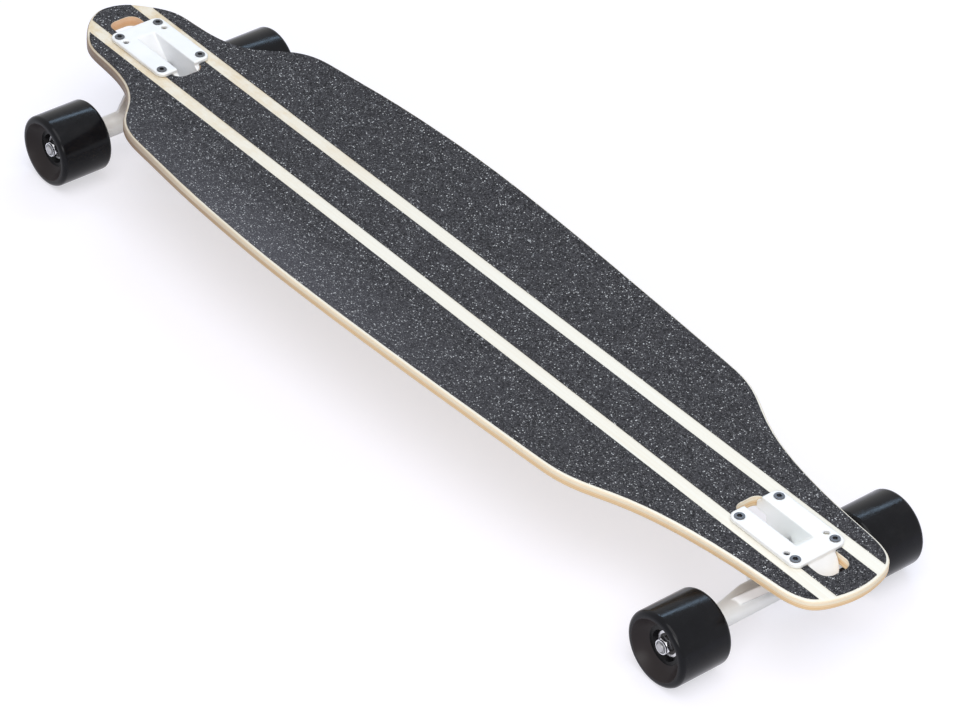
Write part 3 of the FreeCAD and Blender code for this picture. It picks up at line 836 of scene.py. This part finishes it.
class Bench:
    """The modelling steps that new pieces share."""

    @staticmethod
    def clear() -> None:
        """Deselect everything, so that an operator acts on one new piece only."""
        bpy.ops.object.select_all(action="DESELECT")

    @staticmethod
    def pick(piece: Piece) -> None:
        """Make one piece the only selected and active one.

        Args:
            piece: The piece to select.
        """
        Bench.clear()
        piece.select_set(True)
        bpy.context.view_layer.objects.active = piece

    @staticmethod
    def merge_points() -> None:
        """Merge the points that lie in one place, in the piece that is being edited."""
        bpy.ops.mesh.select_all(action="SELECT")
        bpy.ops.mesh.remove_doubles(threshold=WELD)

    @staticmethod
    def lathe(name: str, profile: Profile, steps: int) -> Piece:
        """Turn a closed profile about Z.

        Args:
            name: The piece's name.
            profile: Radius and height of each corner, in order round the profile.
            steps: How many faces go round.

        Returns:
            The turned piece.
        """
        Bench.clear()
        bpy.ops.mesh.primitive_plane_add(size=MM)
        piece = bpy.context.object
        piece.name = name
        piece.data.name = name
        bpy.ops.object.mode_set(mode="EDIT")
        bpy.ops.mesh.select_all(action="SELECT")
        bpy.ops.mesh.merge(type="CENTER")
        corners = [Vector((radius, 0.0, height)) for radius, height in profile]
        bpy.ops.transform.translate(value=corners[0])
        for start, end in zip(corners, corners[1:] + corners[:1]):
            bpy.ops.mesh.extrude_region_move(TRANSFORM_OT_translate={"value": end - start})
        Bench.merge_points()
        bpy.ops.mesh.spin(steps=steps, angle=FULL_TURN, center=(0, 0, 0), axis=(0, 0, 1))
        Bench.merge_points()
        bpy.ops.mesh.normals_make_consistent(inside=False)
        bpy.ops.object.mode_set(mode="OBJECT")
        bpy.ops.object.shade_smooth_by_angle(angle=SMOOTH_ANGLE)
        return piece

    @staticmethod
    def settle(piece: Piece, matrix: Matrix) -> None:
        """Move a piece into place and leave its place in its mesh, with its object at the origin.

        Args:
            piece: The piece, drawn about the origin.
            matrix: Where it goes.
        """
        Bench.pick(piece)
        piece.matrix_world = matrix
        bpy.context.view_layer.update()
        bpy.ops.object.transform_apply(location=True, rotation=True, scale=True)

    @staticmethod
    def weld(piece: Piece) -> None:
        """Merge the points of a piece that lie in one place.

        Args:
            piece: The piece to change.
        """
        Bench.pick(piece)
        bpy.ops.object.mode_set(mode="EDIT")
        Bench.merge_points()
        bpy.ops.object.mode_set(mode="OBJECT")

    @staticmethod
    def copy(piece: Piece, name: str) -> Piece:
        """Copy a piece with its mesh.

        Args:
            piece: The piece to copy.
            name: The copy's name.

        Returns:
            The copy, with a mesh of its own.
        """
        twin = piece.copy()
        twin.data = piece.data.copy()
        twin.name = name
        twin.data.name = name
        bpy.context.scene.collection.objects.link(twin)
        return twin

    @staticmethod
    def apply(piece: Piece, kind: str, **settings: object) -> None:
        """Add a modifier with its settings and apply it.

        Args:
            piece: The piece to change.
            kind: The modifier's type.
            **settings: The modifier's properties.
        """
        Bench.pick(piece)
        modifier = piece.modifiers.new(kind.lower(), kind)
        for name, value in settings.items():
            setattr(modifier, name, value)
        bpy.ops.object.modifier_apply(modifier=modifier.name)

    @staticmethod
    def corner(rows: int) -> list[float]:
        """Return the angles at which a rounded corner has its points."""
        return [QUARTER_TURN * row / rows for row in range(rows + 1)]


def dress(piece: Piece, finish: Finish) -> None:
    """Give a piece one finish all over."""
    piece.data.materials.clear()
    piece.data.materials.append(finish.make())


def dress_node(node: str, finish: Finish) -> None:
    """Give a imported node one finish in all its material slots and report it.

    Args:
        node: The node's name.
        finish: Its finish.
    """
    piece = frame["nodes"][node]
    if not piece.material_slots:
        piece.data.materials.append(finish.make())
    for slot in piece.material_slots:
        slot.material = finish.make()
    LOG.info("%s dressed in %s", node, finish.name)


def mount_piece(piece: Piece, body: str, finish: Finish, node: str = "") -> None:
    """Dress a new piece, let it ride on a body and report it.

    Args:
        piece: The finished piece.
        body: The body that it rides on.
        finish: The piece's finish.
        node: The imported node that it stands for, if any.
    """
    dress(piece, finish)
    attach(piece, body)
    if node:
        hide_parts(node)
    LOG.info("%s rides on %s", piece.name, body)


@dataclass
class Casting:
    """A cast piece with the soft edges that a mould leaves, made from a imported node."""

    node: str
    body: str
    finish: SatinAlloy
    slot: str = "cast_alloy"
    node_marks: tuple[str, ...] = ("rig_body", "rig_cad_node")
    voxel: float = 0.7 * MM
    smoothing: int = 6
    smoothing_share: float = 0.5
    kept_share: float = 0.35

    def build(self) -> None:
        """Copy the node without its marks, soften its edges and let the copy stand for it."""
        source = frame["nodes"][self.node]
        piece = Bench.copy(source, f"{self.node}_casting")
        for mark in self.node_marks:
            if mark in piece:
                del piece[mark]
        piece.parent = None
        Bench.settle(piece, source.matrix_world.copy())
        Bench.weld(piece)
        Bench.apply(piece, "REMESH", mode="VOXEL", voxel_size=self.voxel)
        Bench.apply(piece, "SMOOTH", factor=self.smoothing_share, iterations=self.smoothing)
        Bench.apply(piece, "DECIMATE", ratio=self.kept_share)
        bpy.ops.object.shade_smooth()
        mount_piece(piece, self.body, self.finish, self.node)


@dataclass
class Board:
    """The deck with its grip tape and the bolts that hold the trucks."""

    finishes: dict[str, Finish] = field(default_factory=lambda: {
        "deck": MAPLE,
        "grip_tape_left": GRIT,
        "grip_tape_center": GRIT,
        "grip_tape_right": GRIT,
        "mount_screws": SCREW,
        "mount_nuts": ZINC,
    })

    def build(self) -> None:
        """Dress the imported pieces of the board."""
        for node, finish in self.finishes.items():
            dress_node(node, finish)


@dataclass
class Bushing:
    """A urethane bushing that bends between the board and the hanger."""

    board_end: float
    ring_end: float
    slot: str = "bushing_urethane"
    radius: float = 12.0 * MM
    bore: float = 5.0 * MM
    flare: float = 1.3 * MM
    waist: float = 0.8 * MM
    round: float = 1.0 * MM
    rows: int = 12
    corner_rows: int = 4
    steps: int = 64

    def profile(self) -> Profile:
        """Return the barrel's section with rounded rims and a bore that widens towards the ring.

        Returns:
            Radius and height of each corner.
        """
        way = math.copysign(1.0, self.ring_end - self.board_end)
        height = abs(self.ring_end - self.board_end)
        shoulder = self.radius - self.round
        outside: Profile = []
        for turn in Bench.corner(self.corner_rows):
            rise = self.round * (1 - math.cos(turn))
            outside.append((shoulder + self.round * math.sin(turn), self.board_end + way * rise))
        for row in range(1, self.rows):
            share = row / self.rows
            tuck = self.waist * math.sin(math.pi * share)
            rise = self.round + share * (height - 2 * self.round)
            outside.append((self.radius - tuck, self.board_end + way * rise))
        for turn in Bench.corner(self.corner_rows):
            drop = self.round * (1 - math.sin(turn))
            outside.append((shoulder + self.round * math.cos(turn), self.ring_end - way * drop))
        inside: Profile = []
        for row in range(self.rows + 1):
            share = 1 - row / self.rows
            inside.append((self.bore + self.flare * share, self.board_end + way * share * height))
        return outside + inside


@dataclass
class NutInsert:
    """The nylon ring that shows in the end of an axle nut."""

    slot: str = "black_plastic"
    place: float = 120.2 * MM
    height: float = 0.55 * MM
    bore: float = 4.1 * MM
    radius: float = 5.5 * MM
    soft_share: float = 0.25
    steps: int = 48

    def profile(self) -> Profile:
        """Return the ring's section with both rims of its outer face taken off.

        Returns:
            Radius and place along the axle of each corner.
        """
        low, high = self.place, self.place + self.height
        soft = self.soft_share * (self.radius - self.bore)
        return [
            (self.bore, low), (self.radius, low), (self.radius, high - soft),
            (self.radius - soft, high), (self.bore + soft, high), (self.bore, high - soft),
        ]


@dataclass
class Truck:
    """One truck: cast baseplate and hanger, kingpin, bushings, axle and nuts."""

    end: End
    steer_angle: float = math.radians(45.0)
    ring_reach: float = 26.0 * MM
    insert: NutInsert = field(default_factory=NutInsert)
    bushings: dict[str, Bushing] = field(default_factory=lambda: {
        "bushing_board_side": Bushing(board_end=21.8 * MM, ring_end=9.8 * MM),
        "bushing_road_side": Bushing(board_end=-9.8 * MM, ring_end=1.2 * MM),
    })
    finishes: dict[str, Finish] = field(default_factory=lambda: {
        "pivot_cup": CUP,
        "kingpin": ZINC,
        "kingpin_nut": ZINC,
        "bushing_washers": ZINC,
        "axle": AXLE,
        "axle_nuts": BRIGHT,
        "speed_washers": ZINC,
        "bearing_spacers": ZINC,
    })

    def node(self, name: str) -> str:
        """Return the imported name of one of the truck's nodes."""
        return f"{self.end.label}_truck_{name}"

    @property
    def hanger_body(self) -> str:
        """The body that turns with the hanger."""
        return f"{self.end.label}_hanger"

    @property
    def axle_middle(self) -> Matrix:
        """The place of the axle's middle, along the board's own axes."""
        return Matrix.Translation((self.end.value * AXLE_REACH, 0.0, AXLE_HEIGHT))

    def steering_frame(self) -> Matrix:
        """Find the steering frame, with X along its axis and Z along the kingpin.

        Returns:
            Its place on the board.
        """
        place = self.axle_middle
        if self.end is End.NOSE:
            place = place @ Matrix.Rotation(math.pi, 4, "Z")
        return place @ Matrix.Rotation(-self.steer_angle, 4, "Y")

    def build(self) -> None:
        """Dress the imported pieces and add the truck's own new ones."""
        for name, finish in self.finishes.items():
            dress_node(self.node(name), finish)
        Casting(self.node("baseplate"), "board", PLATE).build()
        Casting(self.node("hanger"), self.hanger_body, HANGER).build()
        for name, bushing in self.bushings.items():
            self.build_bushing(name, bushing)
        for side in Side:
            self.build_insert(side)

    def build_bushing(self, name: str, bushing: Bushing) -> None:
        """Turn one bushing, set it between the board and the hanger and hide the imported one.

        Args:
            name: The bushing's node in this truck.
            bushing: Its sizes, with heights along the kingpin.
        """
        piece = Bench.lathe(f"{self.end.label}_{name}_barrel", bushing.profile(), bushing.steps)
        at_ring = self.steering_frame() @ Matrix.Translation((self.ring_reach, 0.0, 0.0))
        Bench.settle(piece, at_ring)
        dress(piece, BUSHING)
        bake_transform(piece)
        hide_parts(self.node(name))
        LOG.info("%s bends between board and %s", piece.name, self.hanger_body)

    def build_insert(self, side: Side) -> None:
        """Turn the nylon ring of an axle nut.

        Args:
            side: The side of the board that the nut is on.
        """
        name = f"{self.end.label}_{side.label}_nut_insert"
        piece = Bench.lathe(name, self.insert.profile(), self.insert.steps)
        Bench.settle(piece, self.axle_middle @ Matrix.Rotation(-side.value * QUARTER_TURN, 4, "X"))
        mount_piece(piece, self.hanger_body, INSERT)


@dataclass
class Wheel:
    """One wheel: tire, core and two ball bearings."""

    end: End
    side: Side
    slot: str = "wheel_urethane"
    wheel_reach: float = 101.2 * MM
    half_width: float = 25.75 * MM
    radius: float = WHEEL_RADIUS
    lip: float = 4.2 * MM
    land: float = 1.6 * MM
    core_half_width: float = 15.75 * MM
    core_radius: float = 17.0 * MM
    dip_share: float = 0.34
    lip_rows: int = 10
    bowl_rows: int = 26
    steps: int = 112
    finishes: dict[str, Finish] = field(default_factory=lambda: {
        "core": CORE,
        "bearing_outer_rings": RING,
        "bearing_inner_rings": RING,
        "bearing_balls": RING,
        "bearing_cages": CAGE,
        "bearing_shields": SHIELD,
    })

    @property
    def body(self) -> str:
        """The body that the wheel turns with."""
        return f"{self.end.label}_{self.side.label}_wheel"

    def bowl(self) -> Profile:
        """Return the dished face from the rim to the core.

        Returns:
            Radius and height of each point.
        """
        rim = self.radius - self.lip - self.land
        middle = 0.5 * (rim + self.core_radius)
        depth = self.half_width - self.core_half_width
        dip = self.half_width - depth * (1 - self.dip_share)
        most_sag = 0.5 * (self.half_width + self.core_half_width) - dip
        points = []
        for row in range(self.bowl_rows + 1):
            share = row / self.bowl_rows
            across = rim + (self.core_radius - rim) * share
            straight = self.half_width - depth * share
            sag = most_sag * (1 - ((across - middle) / (rim - middle)) ** 2)
            points.append((across, straight - sag))
        return points

    def section(self) -> Profile:
        """Return the tire's section, from one face round the tread to the other and back along the core.

        Returns:
            Radius and height of each point.
        """
        face = self.bowl()[::-1]
        for turn in Bench.corner(self.lip_rows):
            out = self.radius - self.lip + self.lip * math.sin(turn)
            face.append((out, self.half_width - self.lip + self.lip * math.cos(turn)))
        return face + [(radius, -height) for radius, height in reversed(face)]

    def build(self, model: Piece) -> None:
        """Place a copy of the turned tire and dress the wheel.

        Args:
            model: The tire that all four wheels are copied from.
        """
        tire = Bench.copy(model, f"{self.body}_turned_tire")
        middle = (self.end.value * AXLE_REACH, self.side.value * self.wheel_reach, AXLE_HEIGHT)
        Bench.settle(tire, Matrix.Translation(middle) @ Matrix.Rotation(QUARTER_TURN, 4, "X"))
        mount_piece(tire, self.body, URETHANE, f"{self.body}_tire")
        for name, finish in self.finishes.items():
            dress_node(f"{self.body}_{name}", finish)


@dataclass(frozen=True)
class Softbox:
    """A flat lamp that faces the board."""

    name: str
    size: tuple[float, float]
    energy: float
    color: Color
    place: Point


@dataclass
class Studio:
    """The pale floor, the soft light and the camera."""

    aim: Vector = field(default_factory=lambda: Vector((0.0, 0.0, 0.0907)))
    azimuth: float = math.radians(48.999)
    elevation: float = math.radians(37.376)
    roll: float = math.radians(3.165)
    distance: float = 3.516815
    offset: tuple[float, float] = (0.022381, -0.074159)
    lens: float = 160.5228
    sensor: float = 36.0
    clip_end: float = 100.0
    floor_size: float = 60.0
    floor_cells: int = 8
    floor_glow: Color = (0.97, 0.965, 1.0)
    floor_share: float = 0.56
    floor_tone: Color = (0.53, 0.525, 0.58)
    floor_cloud: Noise = Noise(3.0, detail=2.0)
    floor_deep: Color = (0.61, 0.61, 0.62)
    floor_pale: Color = (0.63, 0.63, 0.64)
    sky: float = 0.44
    key_energy: float = 1.2
    key_angle: float = math.radians(50)
    key_place: Point = (0.28, -0.18, 0.94)
    softboxes: tuple[Softbox, ...] = (
        Softbox("front_softbox", (0.8, 0.5), 6.0, WHITE, (1.15, -0.95, 0.85)),
        Softbox("rear_window", (2.4, 0.3), 25.0, (0.52, 0.74, 1.0), (-1.64, 2.08, 3.0)),
    )

    def build(self) -> None:
        """Set up the floor, the light and the camera."""
        self.build_floor()
        self.build_sky()
        self.build_lamps()
        self.build_camera()
        bpy.context.scene.view_settings.view_transform = "Standard"

    def seen(self, graph: Graph) -> Socket:
        """Find the rays that show the background, straight or in a reflection.

        Args:
            graph: The nodes of the floor or the sky.

        Returns:
            1 for such rays and 0 for others.
        """
        rays = graph.add("ShaderNodeLightPath").outputs
        mirrored = graph.most(rays["Is Glossy Ray"], rays["Is Transmission Ray"])
        return graph.most(rays["Is Camera Ray"], mirrored)

    def build_floor(self) -> None:
        """Lay a pale floor that keeps the shadow, meets the white background and is clear from below."""
        Bench.clear()
        bpy.ops.mesh.primitive_grid_add(
            x_subdivisions=self.floor_cells, y_subdivisions=self.floor_cells, size=self.floor_size
        )
        floor = bpy.context.object
        floor.name = "studio_floor"
        material = bpy.data.materials.new("studio_floor")
        graph = Graph(material)
        tone = graph.ramp(graph.noise(self.floor_cloud), NOISE_RANGE, self.floor_deep, self.floor_pale)
        graph.set(Base_Color=tone, Roughness=0.9, Specular_IOR_Level=0.0)
        glow = graph.step("ShaderNodeEmission", self.floor_glow, self.floor_share)
        shown = graph.step("ShaderNodeAddShader", glow, graph.step("ShaderNodeBsdfDiffuse", self.floor_tone))
        above = graph.step("ShaderNodeMixShader", self.seen(graph), graph.shader.outputs[0], shown)
        below = graph.step("ShaderNodeBsdfTransparent")
        from_below = graph.add("ShaderNodeNewGeometry").outputs["Backfacing"]
        surface = graph.step("ShaderNodeMixShader", from_below, above, below)
        graph.put(graph.nodes["Material Output"].inputs["Surface"], surface)
        floor.data.materials.append(material)

    def build_sky(self) -> None:
        """Fill the world with soft light that shows as white behind the board."""
        world = bpy.data.worlds.new("studio_sky")
        bpy.context.scene.world = world
        graph = Graph(world, "Background")
        graph.set(Color=WHITE, Strength=graph.span(self.seen(graph), UNIT, (self.sky, 1.0)))

    def build_lamps(self) -> None:
        """Hang a wide soft key light over the board, a low one before the tail and a long one behind."""
        key = bpy.data.lights.new("overhead_softbox", "SUN")
        key.energy = self.key_energy
        key.angle = self.key_angle
        self.aim_lamp(key, Vector(self.key_place))
        for box in self.softboxes:
            lamp = bpy.data.lights.new(box.name, "AREA")
            lamp.shape = "RECTANGLE"
            lamp.size, lamp.size_y = box.size
            lamp.energy = box.energy
            lamp.color = box.color
            self.aim_lamp(lamp, Vector(box.place))

    def aim_lamp(self, light: bpy.types.Light, place: Vector) -> None:
        """Put a lamp at a place and turn it to the board.

        Args:
            light: The lamp's data.
            place: Where the lamp hangs.
        """
        lamp = bpy.data.objects.new(light.name, light)
        bpy.context.scene.collection.objects.link(lamp)
        lamp.location = place
        lamp.rotation_euler = place.to_track_quat("Z", "Y").to_euler()

    def build_camera(self) -> None:
        """Set the camera to the photograph's view."""
        level = Vector((math.cos(self.azimuth), math.sin(self.azimuth), 0.0))
        back = Vector((
            math.sin(self.azimuth) * math.cos(self.elevation),
            -math.cos(self.azimuth) * math.cos(self.elevation),
            math.sin(self.elevation),
        ))
        upright = back.cross(level)
        right = level * math.cos(self.roll) + upright * math.sin(self.roll)
        up = upright * math.cos(self.roll) - level * math.sin(self.roll)
        eye = self.aim + right * self.offset[0] + up * self.offset[1] + back * self.distance
        data = bpy.data.cameras.new("camera")
        data.lens = self.lens
        data.sensor_width = self.sensor
        data.sensor_fit = "HORIZONTAL"
        data.clip_end = self.clip_end
        camera = bpy.data.objects.new("camera", data)
        bpy.context.scene.collection.objects.link(camera)
        turn = Matrix((right, up, back)).transposed().to_4x4()
        camera.matrix_world = Matrix.Translation(eye) @ turn
        bpy.context.scene.camera = camera


def main() -> None:
    """Build the studio, the board, its trucks and its wheels."""
    logging.basicConfig(level=logging.INFO, format="%(message)s")
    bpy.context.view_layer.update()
    Studio().build()
    Board().build()
    for end in End:
        Truck(end).build()
    wheels = [Wheel(end, side) for end in End for side in Side]
    model = Bench.lathe("tire_model", wheels[0].section(), wheels[0].steps)
    for wheel in wheels:
        wheel.build(model)
    bpy.data.objects.remove(model)


if __name__ == "__main__":
    main()
